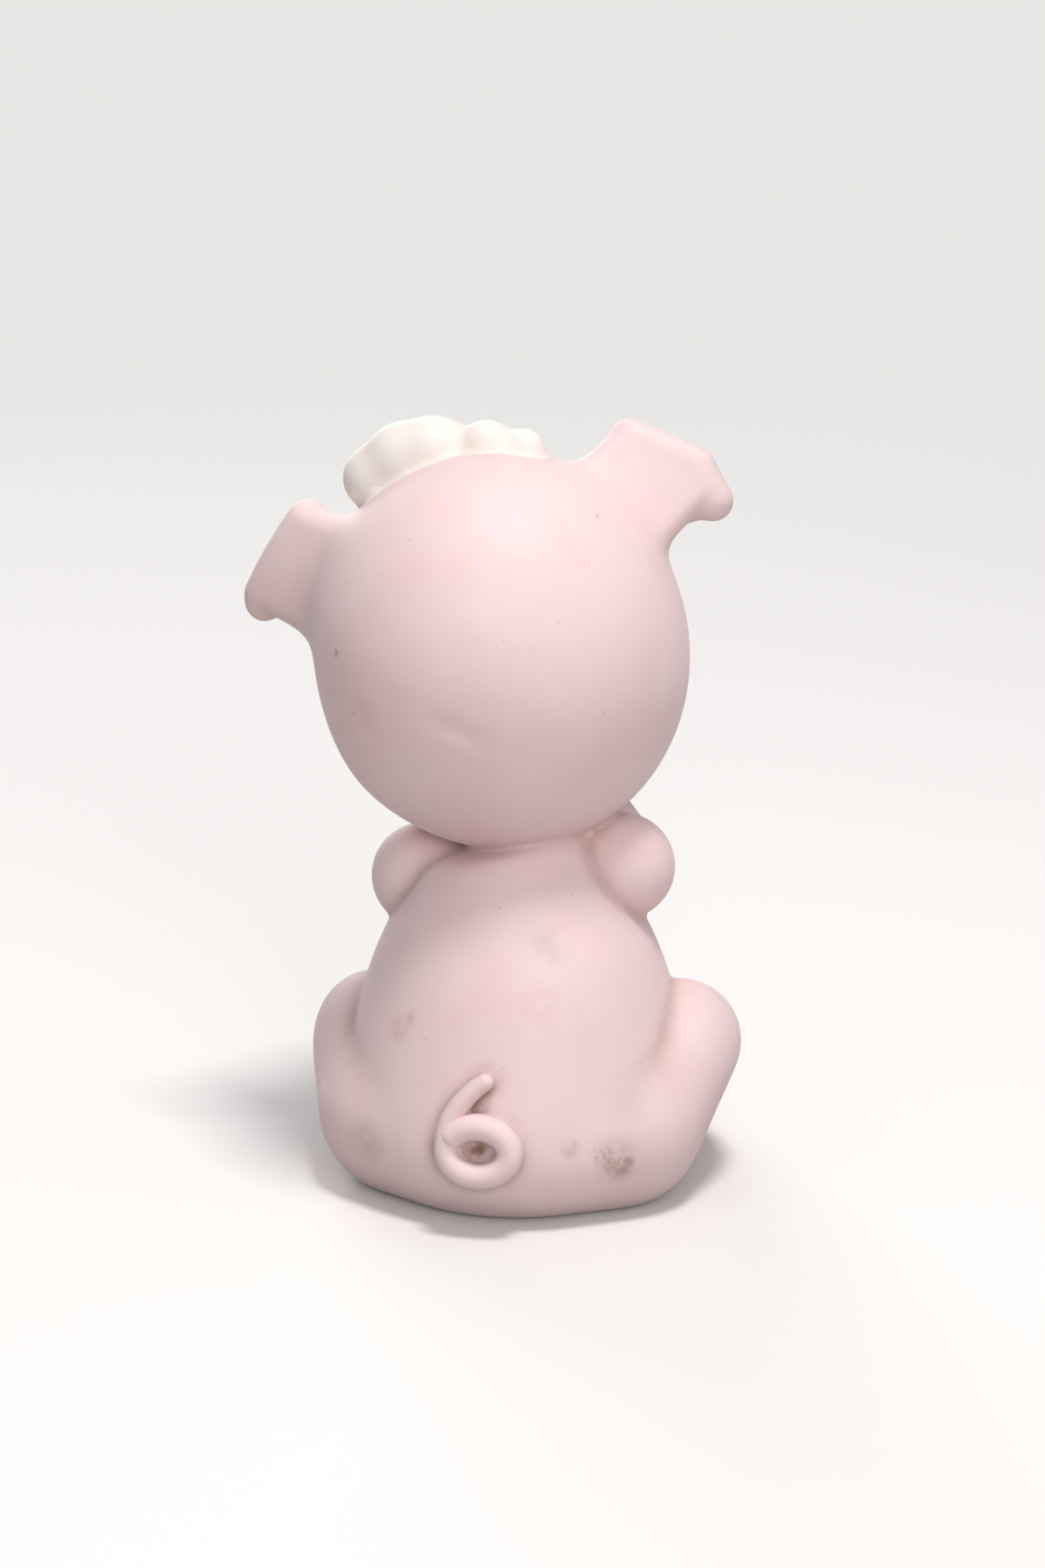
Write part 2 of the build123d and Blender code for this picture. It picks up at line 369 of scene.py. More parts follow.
def bisque(name, clay, blush, pale, crease_dirt_and_shade_tint, marks=()):
    """Unglazed stained porcelain, with its mottling, its dirt, its creases painted darker with dirt and
    painted shade, and its marks.
    """
    material = bpy.data.materials.new(name)
    material.use_nodes = True
    tree = material.node_tree
    tree.nodes.clear()
    where = node(tree, "ShaderNodeTexCoord").outputs["Object"]
    colour = blend_colour(tree, patches(tree, where, 9.0, 2.0, 0.35, 0.75), clay, blush)
    colour = blend_colour(tree, patches(tree, where, 14.0, 1.0, 0.40, 0.80), colour, pale)
    flecks = patches(tree, where, 1.1, 3.0, 0.60, 0.78)
    flecks = calculate(tree, "MULTIPLY", flecks, patches(tree, where, 7.0, 2.0, 0.48, 0.66))
    colour = blend_colour(tree, calculate(tree, "MULTIPLY", flecks, fleck_strength), colour, mottle_red)
    # Where two pieces meet, the colour is darkened towards the crease tint: painted shade, with brown dirt
    # in it on the pink and peach clay.
    crease_dirt_and_shade = node(tree, "ShaderNodeAttribute", attribute_name="crease_dirt_and_shade").outputs["Fac"]
    uneven = patches(tree, where, 4.0, 2.0, 0.25, 0.75, 0.6, 1.0)
    crease_dirt_and_shade_share = calculate(tree, "MULTIPLY", remap(tree, crease_dirt_and_shade, 0.12, 0.95), uneven)
    colour = blend_colour(tree, calculate(tree, "MULTIPLY", crease_dirt_and_shade_share, crease_dirt_and_shade_strength), colour, crease_dirt_and_shade_tint)
    smudge = patches(tree, where, 1.8, 5.0, 0.22, 0.70)
    grit = patches(tree, where, 0.38, 2.0, 0.50, 0.62)
    for centre, radius, strength, tint, gritty in marks:
        share = calculate(tree, "MULTIPLY", spot(tree, where, centre, radius), grit if gritty else smudge)
        colour = blend_colour(tree, calculate(tree, "MULTIPLY", share, strength), colour, tint)
    specks = patches(tree, where, 0.9, 1.0, 0.775, 0.83)
    colour = blend_colour(tree, calculate(tree, "MULTIPLY", specks, speck_strength), colour, dirt_and_shade_brown)
    grain = node(tree, "ShaderNodeTexNoise", {"Vector": where, "Scale": grain_scale, "Detail": 3.0})
    relief = node(tree, "ShaderNodeBump", {
        "Height": grain.outputs["Fac"],
        "Strength": grain_strength,
        "Distance": grain_depth * metres,
    })
    shader = node(tree, "ShaderNodeBsdfPrincipled")
    tree.links.new(colour, shader.inputs["Base Color"])
    tree.links.new(remap(tree, grain.outputs["Fac"], 0.2, 0.8, 0.50, 0.62), shader.inputs["Roughness"])
    tree.links.new(relief.outputs["Normal"], shader.inputs["Normal"])
    shader.inputs["Specular IOR Level"].default_value = 0.35
    shader.inputs["Sheen Weight"].default_value = 0.12
    shader.inputs["Sheen Roughness"].default_value = 0.45
    output = node(tree, "ShaderNodeOutputMaterial")
    tree.links.new(shader.outputs["BSDF"], output.inputs["Surface"])
    return material


def finish_piece(piece, cad_node, material):
    """Lays a piece in place of its node, in its clay."""
    piece.data.materials.append(material)
    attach(piece, "root")
    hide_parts(cad_node)


# Body
# A hollow slip-cast pear on a flat foot, cupped to take the head, which is luted into it.
# A round hole in the foot lets steam out of the hollow in the kiln.
body_heights = np.array([0.0, 2.4, 9.4, 20.9, 30.2, 41.6])
body_radii = np.array([15.5, 18.4, 20.4, 17.9, 14.4, 7.0])
body_outline = np.polyfit(body_heights, body_radii, len(body_heights) - 1)
body_steepness = np.polyder(body_outline)
foot_edge = 1.2
foot_vent_radius = 4.0
foot_vent_back = 7.0
foot_vent_height = 6.0
neck_seat = 1.7
neck_edge = 2.0
neck_fillet = 2.0
tail_fillet = 1.3
tail_slip = 0.8


def pear_side_distance(p, inset=0.0):
    """How far places lie outside the pear, which here has no foot."""
    height = np.clip(p[:, 2], 0.0, body_heights[-1])
    radius = np.polyval(body_outline, height)
    slant = np.sqrt(1 + np.polyval(body_steepness, height) ** 2)
    side = (np.hypot(p[:, 0], p[:, 1]) - radius) / slant + inset
    top = in_head(p)[:, 2] + head_half_height - neck_seat + inset
    return soft_max(side, top, neck_edge)


def pear_distance(p, inset=0.0):
    """How far places lie outside the pear on its foot, or its cavity where it is inset."""
    return soft_max(pear_side_distance(p, inset), inset - p[:, 2], foot_edge)


key_depth = 1.3
slip_full_share = 0.8
slip_end_share = 1.15
slip_sunk = 0.008
slip_end_sunk = 0.2


def eased(share):
    """A share that starts and ends softly."""
    return share * share * (3 - 2 * share)


def over_host(piece_distance, host_distance, fillet):
    """A piece that is keyed a little way into what it is luted to, with a fillet of slip run out over it."""
    slip_full = slip_full_share * fillet
    slip_end = slip_end_share * fillet
    gone = np.clip((piece_distance - slip_full) / (slip_end - slip_full), 0.0, 1.0)
    sunk = slip_sunk + slip_end_sunk * eased(gone)
    blended = soft_min(piece_distance, host_distance + sunk, fillet)
    return np.maximum(np.maximum(blended, -(host_distance + key_depth)), piece_distance - slip_end)


limb_reach = 8.0


def roll_distance(p, start, start_radius, end, end_radius):
    """How far places lie outside a round-ended roll that tapers between two points."""
    axis = end - start
    length2 = axis @ axis
    taper = start_radius - end_radius
    slack = length2 - taper * taper
    q = p - start
    y = q @ axis
    z = y - length2
    x2 = np.sum((q * length2 - y[:, None] * axis) ** 2, axis=1)
    y2 = y * y * length2
    z2 = z * z * length2
    lean = np.sign(taper) * taper * taper * x2
    side = (np.sqrt(x2 * slack / length2) + y * taper) / length2 - start_radius
    near = np.sqrt(x2 + y2) / length2 - start_radius
    far = np.sqrt(x2 + z2) / length2 - end_radius
    before_end = np.where(np.sign(y) * slack * y2 < lean, near, side)
    return np.where(np.sign(z) * slack * z2 > lean, far, before_end)


def smooth_line(rows, steps):
    """Rows of places and radii on an even curve through a few rows of them."""
    rows = np.array(rows, dtype=float)
    ends = np.concatenate([[2 * rows[0] - rows[1]], rows, [2 * rows[-1] - rows[-2]]])
    line = []
    for index in range(1, len(ends) - 2):
        before, start, end, after = ends[index - 1:index + 3]
        bend = 2 * before - 5 * start + 4 * end - after
        twist = 3 * start - before - 3 * end + after
        for step in range(steps):
            t = step / steps
            line.append(0.5 * (2 * start + (end - before) * t + bend * t ** 2 + twist * t ** 3))
    return np.array(line + [rows[-1]])


def limb_distance(p, line):
    """How far places lie outside a limb: the nearest of its rolls, or a low guess beyond its reach."""
    middle = (line[:, :3].min(axis=0) + line[:, :3].max(axis=0)) / 2
    size = np.max(np.linalg.norm(line[:, :3] - middle, axis=1) + line[:, 3])
    nearest = np.linalg.norm(p - middle, axis=1) - size
    close = nearest < limb_reach
    near = p[close]
    distance = np.full(len(near), np.inf)
    for start, end in zip(line[:-1], line[1:]):
        distance = np.minimum(distance, roll_distance(near, start[:3], start[3], end[:3], end[3]))
    nearest[close] = distance
    return nearest


# The middle line of the tail, which the slip round its foot follows
tail_radius = 1.5
tail_tip_radius = 0.95
tail_loop_half_width = 3.55
tail_loop_half_height = 2.75
tail_height = 9.8
tail_stroke_height = 7.6
tail_seat = 0.9
tail_inner_angle = 195
tail_step_angle = 5
tail_tuck = 2.4
tail_tuck_angle = 145
tail_roll_step = 3
tail_stroke_shares = ((-0.98, 0.22), (-0.88, 0.42), (-0.66, 0.61), (-0.38, 0.78), (-0.08, 0.92), (0.16, 1.0))


def tail_place(across, up, tucked=0.0):
    """A place on the middle line of the tail, laid on the back of the body or tucked into it."""
    height = tail_height + up
    reach = np.polyval(body_outline, height) + tail_seat - tucked
    return (-across, math.sqrt(reach * reach - across * across), height)


tail_rows = []
for angle in range(tail_inner_angle, -180, -tail_step_angle):
    turned = math.radians(angle)
    across = tail_loop_half_width * math.cos(turned)
    up = tail_loop_half_height * math.sin(turned)
    tucked = tail_tuck * max(0.0, (angle - tail_tuck_angle) / (tail_inner_angle - tail_tuck_angle))
    place = tail_place(across, up, tucked)
    tail_rows.append((*place, tail_radius))
stroke_start = (*tail_place(-tail_loop_half_width, 0.0), tail_radius)
stroke_rows = [stroke_start]
for across_share, up_share in tail_stroke_shares:
    place = tail_place(across_share * tail_loop_half_width, up_share * tail_stroke_height)
    stroke_rows.append((*place, tail_radius + (tail_tip_radius - tail_radius) * up_share))
tail_line = np.concatenate([np.array(tail_rows), smooth_line(stroke_rows, steps=8)])
tip_heading = tail_line[-1, :3] - tail_line[-2, :3]
tail_end = tail_line[-1, :3] + tip_heading / np.linalg.norm(tip_heading) * tail_tip_radius


def tail_distance(p):
    """How far places lie outside the tail."""
    return limb_distance(p, tail_line[::tail_roll_step])


def body_form(p):
    """The hollow body with its vents, and with slip round the tail and at the neck."""
    pear = pear_distance(p)
    solid = soft_min(pear, np.maximum(tail_distance(p), pear - tail_slip), tail_fillet)
    solid = over_host(solid, head_distance(p), neck_fillet)
    cavity = np.maximum(pear_distance(p, wall), -egg_distance(p, -wall))
    foot_vent = np.hypot(p[:, 0], p[:, 1] - foot_vent_back) - foot_vent_radius
    foot_vent = np.maximum(foot_vent, p[:, 2] - foot_vent_height)
    for hollow in (cavity, foot_vent, vent_distance(p)):
        solid = soft_max(solid, -hollow, cast_edge)
    return solid


def cast_distance(p):
    """The sides of the two castings together, which the modelled pieces are luted to."""
    return soft_min(pear_side_distance(p), head_distance(p), neck_fillet)


body = fired_piece("body", body_form, *place_of("body_shell", 2.5), cell=0.42)

# Marks of handling, and the hollow of the tail's loop and the groove beside it darkened, partly dirt and
# partly painted shade;
# each by the pixel of the photograph where it is seen: its radius, its strength, its tint and whether it is
# gritty
scuff_red = srgb(214, 158, 150)
scuff_brown = srgb(158, 118, 102)
seen_marks = [
    ((707, 1332), 3.5, 0.65, scuff_brown, False),
    ((709, 1332), 2.6, 0.40, scuff_brown, True),
    ((714, 1334), 1.7, 0.70, dirt_and_shade_brown, False),
    ((690, 1324), 2.0, 0.35, scuff_brown, True),
    ((457, 1181), 2.2, 0.50, scuff_red, False),
    ((470, 1168), 1.4, 0.45, scuff_red, False),
    ((392, 1312), 4.2, 0.45, scuff_brown, False),
    ((425, 1310), 3.4, 0.40, scuff_brown, False),
    ((655, 1320), 1.6, 0.50, scuff_brown, False),
    ((790, 1277), 1.4, 0.55, scuff_brown, False),
    ((779, 1242), 1.2, 0.45, scuff_brown, False),
    ((386, 750), 0.8, 0.70, scuff_brown, False),
    ((419, 818), 2.8, 0.25, scuff_red, False),
    ((632, 1085), 3.4, 0.22, scuff_brown, False),
    ((620, 1150), 3.4, 0.25, scuff_red, False),
    # The last five darken the hollow inside the tail's loop and the groove beside its stroke: partly dirt,
    # partly painted shade.
    ((550, 1322), 2.6, 0.75, dirt_and_shade_brown, False),
    ((549, 1323), 1.9, 0.95, dirt_and_shade_brown, False),
    ((557, 1251), 1.5, 0.85, dirt_and_shade_brown, False),
    ((548, 1263), 1.7, 0.95, dirt_and_shade_brown, False),
    ((539, 1275), 1.5, 0.90, dirt_and_shade_brown, False),
]
marks = [(seen_place(pixel, cast_distance), *rest) for pixel, *rest in seen_marks]

clay_pink = srgb(238, 213, 212)
clay_blush = srgb(237, 207, 205)
clay_pale = srgb(239, 215, 214)
pink_clay = bisque("pink_bisque", clay_pink, clay_blush, clay_pale, dirt_and_shade_brown, marks)
finish_piece(head, "head_shell", pink_clay)
finish_piece(body, "body_shell", pink_clay)


# Limbs
# Solid rolls of pink clay, pressed on while the castings were leather-hard and smoothed into them with slip.
# Legs run from the hip over a raised knee; arms come forward from the shoulders under the chin.
# The slip is broad low on the thigh and narrow from the top of the knee up.
limb_fillet = 4.4
knee_fillet = 1.1
knee_fillet_heights = (11.0, 18.0)
# Rows along the middle of a left limb: how far to its side and back, its height and its radius
leg_rows = ((12.2, 4.8, 8.8, 9.7), (17.7, -5.5, 14.6, 7.0), (14.4, -17.0, 4.6, 4.4))
arm_rows = ((11.4, -2.4, 35.1, 6.0), (10.2, -11.5, 32.6, 4.9), (5.5, -16.3, 38.0, 3.7))
shoulder_slope = 1.2
knee_slope = 0.6
rear_trotter = {"radius": 4.9, "length": 4.2, "turn": 12.0, "rise": 0.0}
front_trotter = {"radius": 3.9, "length": 3.2, "turn": 35.0, "rise": 55.0}
toe_share = 0.86
cleft_half_width = 0.5
cleft_depth = 2.6
cleft_edge = 0.9
trotter_fillet = 0.5
hands = ((1, "left"), (-1, "right"))


def sided(rows, hand, lifts):
    """Rows of the left limb, or of the right one for the other hand."""
    return [
        (hand * side, back, height - hand * lift, radius)
        for (side, back, height, radius), lift in zip(rows, lifts)
    ]


def trotter_distance(p, wrist, hand, trotter):
    """A blunt trotter with a cleft between its toes."""
    turn = math.radians(trotter["turn"])
    rise = math.radians(trotter["rise"])
    level = math.cos(rise)
    heading = np.array([-hand * math.sin(turn) * level, -math.cos(turn) * level, math.sin(rise)])
    toe = wrist + heading * trotter["length"]
    toe_radius = trotter["radius"] * toe_share
    form = roll_distance(p, wrist, trotter["radius"], toe, toe_radius)
    across = np.cross([0.0, 0.0, 1.0], heading)
    across /= np.linalg.norm(across)
    tip = toe + heading * toe_radius
    cleft = np.maximum(np.abs((p - tip) @ across) - cleft_half_width, -cleft_depth - (p - tip) @ heading)
    return soft_max(form, -cleft, cleft_edge)


peach = srgb(241, 216, 202)
peach_blush = srgb(238, 207, 193)
peach_pale = srgb(242, 221, 209)
# Tint for the creases of the trotters: dirt and painted shade.
peach_dirt_and_shade = srgb(206, 162, 142)
peach_clay = bisque("peach_bisque", peach, peach_blush, peach_pale, peach_dirt_and_shade)
limbs = (
    ("leg", leg_rows, (0.0, knee_slope, 0.0), "rear_trotter", rear_trotter),
    ("arm", arm_rows, (shoulder_slope,) * 3, "front_trotter", front_trotter),
)

# Every form without its slip, from which the creases between pieces are found at the end
forms = {"body": pear_distance, "head": head_distance, "tail": tail_distance}
for hand, side_name in hands:
    for limb_name, rows, lifts, trotter_name, trotter in limbs:
        line = smooth_line(sided(rows, hand, lifts), steps=9)
        end = line[-1, :3]
        limb_node = f"{limb_name}_{side_name}"
        trotter_node = f"{trotter_name}_{side_name}"

        def bare_limb(p, line=line):
            return limb_distance(p, line)

        def bare_trotter(p, end=end, hand=hand, trotter=trotter):
            return trotter_distance(p, end, hand, trotter)

        def limb_form(p, limb_piece=bare_limb):
            fillet = np.interp(p[:, 2], knee_fillet_heights, (limb_fillet, knee_fillet))
            joined = over_host(limb_piece(p), cast_distance(p), fillet)
            return soft_max(joined, -p[:, 2], foot_edge)

        def trotter_form(p, trotter_piece=bare_trotter, limb_piece=bare_limb):
            host = np.minimum(limb_piece(p), cast_distance(p))
            joined = over_host(trotter_piece(p), host, trotter_fillet)
            return soft_max(joined, -p[:, 2], foot_edge)

        forms[limb_node] = bare_limb
        forms[trotter_node] = bare_trotter
        box = place_of(limb_node, limb_fillet + 3)
        piece = fired_piece(f"{side_name}_{limb_name}", limb_form, *box, cell=0.45)
        finish_piece(piece, limb_node, pink_clay)
        box = place_of(trotter_node, 2.5)
        piece = fired_piece(f"{side_name}_{trotter_name}", trotter_form, *box, cell=0.35)
        finish_piece(piece, trotter_node, peach_clay)


# Ears
# Flaps of pink clay pinched thin in the middle, with a rolled rim and the tip folded down in front.
# Each is luted to the side of the crown with a broad fillet.
# Where a value is in a pair, 1 is the left ear and -1 the right one.
ear_roots = {1: np.array([15.15, -2.5, 10.7]), -1: np.array([15.15, 1.05, 10.7])}
ear_rise = math.radians(31.0)
ear_sweep = math.radians(27.0)
ear_half_width = 8.05
ear_reach_tops = {1: 10.4, -1: 10.7}
ear_reach_lows = {1: 13.6, -1: 12.5}
ear_root_depth = 6.0
ear_rim = 1.75
ear_fold_rim = 1.9
ear_lobe_rims = {1: 1.9, -1: 2.2}
ear_lobe_drops = {1: 0.0, -1: -0.1}
ear_top_edge_drop = 0.9
ear_low_edge_drops = {1: 1.4, -1: 2.1}
ear_fold_forward = 0.6
ear_fold_bows = {1: 0.2, -1: 1.7}
ear_bow_shares = {1: 0.45, -1: 0.32}
ear_arch = 0.9
ear_tip_length = 8.8
ear_tip_opening = math.radians(32.0)
ear_tip_rim_share = 0.9
ear_tip_web_share = 0.85
ear_fold_fillet = 1.4
ear_tip_fillet = 1.2
ear_fillets = {1: 5.4, -1: 4.2}
rim_width_share = 2.2


def polygon_distance(across, up, corners):
    """How far places lie outside a flat outline with corners in counter-clockwise order."""
    nearest = np.full(len(across), np.inf)
    outside = np.full(len(across), -np.inf)
    for (ax, ay), (bx, by) in zip(corners, corners[1:] + corners[:1]):
        ex, ey = bx - ax, by - ay
        wx, wy = across - ax, up - ay
        along = np.clip((wx * ex + wy * ey) / (ex * ex + ey * ey), 0.0, 1.0)
        nearest = np.minimum(nearest, np.hypot(wx - ex * along, wy - ey * along))
        outside = np.maximum(outside, (wx * ey - wy * ex) / math.hypot(ex, ey))
    return np.where(outside > 0, nearest, -nearest)


def flap_distance(across, up, depth, corners, rim, web_share):
    """A flap of clay with a rolled rim, thinner in the middle."""
    edge = polygon_distance(across, up, corners)
    inner = np.clip(-edge / (rim_width_share * rim), 0.0, 1.0)
    thin = 1 - (1 - web_share) * eased(inner)
    return np.hypot(np.maximum(edge, 0.0), depth) - rim * thin


def ear_distance(p, hand):
    """How far places lie outside an ear: its blade, the rolled fold and the tip that hangs from it."""
    q = in_head(p)
    q[:, 0] *= hand
    q = q - ear_roots[hand]
    outward = q[:, 0] * math.cos(ear_rise) + q[:, 2] * math.sin(ear_rise)
    across = q[:, 2] * math.cos(ear_rise) - q[:, 0] * math.sin(ear_rise)
    along = outward * math.cos(ear_sweep) + q[:, 1] * math.sin(ear_sweep)
    depth = q[:, 1] * math.cos(ear_sweep) - outward * math.sin(ear_sweep)
    depth = depth - ear_arch * (across / ear_half_width) ** 2
    half = ear_half_width - ear_rim
    low_edge = -half + ear_low_edge_drops[hand]
    top_edge = half - ear_top_edge_drop
    low = (ear_reach_lows[hand] - ear_rim, low_edge)
    top = (ear_reach_tops[hand] - ear_rim, top_edge)
    spot_in = np.stack([along, across, depth], axis=1)
    fold_low = np.array([low[0], -half - ear_lobe_drops[hand], ear_fold_forward])
    fold_top = np.array([top[0], top[1], ear_fold_forward])
    fold_line = (fold_top - fold_low) / np.linalg.norm(fold_top - fold_low)
    inward = np.array([-fold_line[1], fold_line[0], 0.0])
    fold_middle = fold_low + ear_bow_shares[hand] * (fold_top - fold_low) - ear_fold_bows[hand] * inward
    fold_rim = (ear_lobe_rims[hand] + ear_fold_rim) / 2
    fold = np.minimum(
        roll_distance(spot_in, fold_low, ear_lobe_rims[hand], fold_middle, fold_rim),
        roll_distance(spot_in, fold_middle, fold_rim, fold_top, ear_fold_rim),
    )
    root_low = (-ear_root_depth, low_edge)
    root_top = (-ear_root_depth, top_edge)
    blade_corners = [root_low, low, tuple(fold_middle[:2]), top, root_top]
    blade = flap_distance(along, across, depth, blade_corners, ear_rim, 1.0)
    tip_line = inward * math.cos(ear_tip_opening) + np.array([0.0, 0.0, math.sin(ear_tip_opening)])
    from_fold = spot_in - (fold_low + fold_top) / 2
    fold_half = np.linalg.norm(fold_top - fold_low) / 2
    on_tip = from_fold @ tip_line
    off_tip = from_fold @ np.cross(fold_line, tip_line)
    tip_corners = [(-fold_half, 0.0), (fold_half, 0.0), (0.0, ear_tip_length)]
    tip_rim = ear_rim * ear_tip_rim_share
    tip = flap_distance(-(from_fold @ fold_line), on_tip, off_tip, tip_corners, tip_rim, ear_tip_web_share)
    return soft_min(soft_min(blade, fold, ear_fold_fillet), tip, ear_tip_fillet)


for hand, side_name in hands:
    ear_node = f"ear_{side_name}"

    def bare_ear(p, hand=hand):
        return ear_distance(p, hand)

    def ear_form(p, ear_piece=bare_ear, fillet=ear_fillets[hand]):
        return over_host(ear_piece(p), head_distance(p), fillet)

    forms[ear_node] = bare_ear
    box = place_of(ear_node, ear_fillets[hand] + 5)
    piece = fired_piece(f"{side_name}_ear", ear_form, *box, cell=0.42)
    finish_piece(piece, ear_node, pink_clay)


# Forelock
# Five plump locks of cream slip-stained clay that lie from the crown to the forehead.
# Each is pressed against the one before it, so that only a soft valley parts them.
lock_radius = 4.0
lock_forward_shares = (0.10, 0.36, 0.60, 0.80)
lock_taper_shares = (1.0, 1.0, 0.86, 0.5)
# Each lock's side share at its root and at its tip, its share of the full radius, and how far it is lifted
lock_shares = (
    (0.425, 0.51, 0.91, 0.45),
    (0.27, 0.34, 1.00, 0.42),
    (0.09, 0.16, 0.97, 0.20),
    (-0.18, -0.02, 0.78, 0.02),
    (-0.37, -0.15, 0.58, 0.10),
)
lock_fillets = (2.2, 1.5, 1.5, 1.5, 1.5)
valley_fillets = (1.5, 2.4, 3.6, 2.4, 2.0)


def skull_place(side_share, forward_share, lift):
    """A place on the upper skull, or lifted off it."""
    up_share = math.sqrt(1 - side_share ** 2 - forward_share ** 2)
    shares = np.array([side_share, forward_share, up_share])
    outward = shares / head_semi_axes
    side, forward, up = shares * head_semi_axes + outward / np.linalg.norm(outward) * lift
    return head_centre + side * head_left - np.array([0.0, forward, 0.0]) + up * head_top


def laid_over(own, hair, before, skull, fillet):
    """A lock that is keyed into the skull and the locks before it, with slip run out over both."""
    slip_end = own - slip_end_share * max(valley_fillets)
    gone = np.clip(1 + slip_end / fillet, 0.0, 1.0)
    sunk = slip_sunk + slip_end_sunk * eased(gone)
    whole = soft_min(hair, skull, fillet) + sunk
    host = soft_min(before, skull, fillet)
    return np.maximum(np.maximum(whole, -(host + key_depth)), slip_end)


cream = srgb(240, 232, 225)
cream_blush = srgb(238, 227, 218)
cream_pale = srgb(242, 236, 230)
# Rosy painted shade, laid in the creases where the locks meet the skull and each other.
rosy_painted_shade = srgb(236, 208, 196)
cream_clay = bisque("cream_bisque", cream, cream_blush, cream_pale, rosy_painted_shade)
lock_forms = []
first, last = lock_forward_shares[0], lock_forward_shares[-1]
for number, (side_share, tip_side_share, radius_share, lift_share) in enumerate(lock_shares, start=1):
    rows = []
    for forward_share, taper_share in zip(lock_forward_shares, lock_taper_shares):
        radius = lock_radius * radius_share * taper_share
        gone_share = (forward_share - first) / (last - first)
        across_share = side_share + (tip_side_share - side_share) * gone_share
        rows.append((*skull_place(across_share, forward_share, radius * lift_share), radius))
    line = smooth_line(rows, steps=6)
    lock_node = f"hair_lock_{number}"

    def bare_lock(p, line=line):
        return limb_distance(p, line)

    def lock_form(p, lock_piece=bare_lock, neighbours=tuple(lock_forms), row=number - 1):
        own = lock_piece(p)
        skull = np.minimum(head_distance(p), np.minimum(forms["ear_left"](p), forms["ear_right"](p)))
        before = np.full(len(p), np.inf)
        for neighbour, neighbour_valley in zip(neighbours, valley_fillets):
            before = soft_min(before, neighbour(p), neighbour_valley)
        return laid_over(own, soft_min(own, before, valley_fillets[row]), before, skull, lock_fillets[row])

    piece = fired_piece(f"lock_{number}", lock_form, *place_of(lock_node, 4.0), cell=0.38)
    finish_piece(piece, lock_node, cream_clay)
    lock_forms.append(bare_lock)
    forms[lock_node] = bare_lock


# Snout and eyes
# A short oval barrel of pink clay with two nostrils pressed into it, and two domes of black glaze.
snout_half_width = 6.4
snout_half_height = 5.0
snout_length = 4.5
snout_drop = 3.5
snout_edge = 3.2
nostril_radius = 1.1
nostril_squash = 0.8
nostril_spread = 2.3
nostril_depth = 1.5
nostril_edge = 0.8
snout_fillet = 1.6
eye_radius = 1.6
eye_side_share = 0.36
eye_rise_share = 0.20
eye_fillet = 0.3


def bare_snout(p):
    """How far places lie outside the barrel with its nostrils."""
    q = in_head(p)
    side = q[:, 0]
    up = q[:, 2] + snout_drop
    near = np.hypot(side / snout_half_width, up / snout_half_height) + tiny
    steep = np.hypot(side / snout_half_width ** 2, up / snout_half_height ** 2) + tiny
    barrel = near * (near - 1) / steep
    form = soft_max(barrel, q[:, 1] - head_radius - snout_length, snout_edge)
    form = np.maximum(form, head_radius / 2 - q[:, 1])
    for hand, _ in hands:
        hole = np.hypot(side - hand * nostril_spread, up * nostril_squash) - nostril_radius
        hole = np.maximum(hole, head_radius + snout_length - nostril_depth - q[:, 1])
        form = soft_max(form, -hole, nostril_edge)
    return form


def snout_form(p):
    """The snout, luted to the head."""
    return over_host(bare_snout(p), head_distance(p), snout_fillet)


forms["snout"] = bare_snout
snout = fired_piece("snout", snout_form, *place_of("snout", 4.0), cell=0.35)
finish_piece(snout, "snout", pink_clay)

black_glaze = bpy.data.materials.new("black_glaze")
black_glaze.use_nodes = True
glaze_tree = black_glaze.node_tree
glaze_shader = glaze_tree.nodes["Principled BSDF"]
glaze_where = node(glaze_tree, "ShaderNodeTexCoord").outputs["Object"]
glaze_patches = patches(glaze_tree, glaze_where, 1.2, 2.0, 0.4, 0.7)
glaze_tone = blend_colour(glaze_tree, glaze_patches, srgb(22, 18, 18), srgb(40, 32, 30))
glaze_tree.links.new(glaze_tone, glaze_shader.inputs["Base Color"])
glaze_shader.inputs["Roughness"].default_value = 0.12
glaze_shader.inputs["Coat Weight"].default_value = 0.6
forward_share = math.sqrt(1 - eye_side_share ** 2 - eye_rise_share ** 2)
for hand, side_name in hands:
    eye_centre = (
        head_centre
        + hand * eye_side_share * head_radius * head_left
        - np.array([0.0, forward_share * head_radius, 0.0])
        + eye_rise_share * head_half_height * head_top
    )

    def eye_form(p, centre=eye_centre):
        ball = np.linalg.norm(p - centre, axis=1) - eye_radius
        return over_host(ball, head_distance(p), eye_fillet)

    piece = fired_piece(f"{side_name}_eye", eye_form, *place_of(f"eye_{side_name}", 1.6), cell=0.16)
    finish_piece(piece, f"eye_{side_name}", black_glaze)


# Tail
# One thin roll of pink clay, coiled like a figure six on the back with its tip turned up.
# It was laid on wet, so it sits a little way into the body.
tail_sides = 40
tail_rings = 360
tail_taper_start = 18.0
least_end_share = 0.02


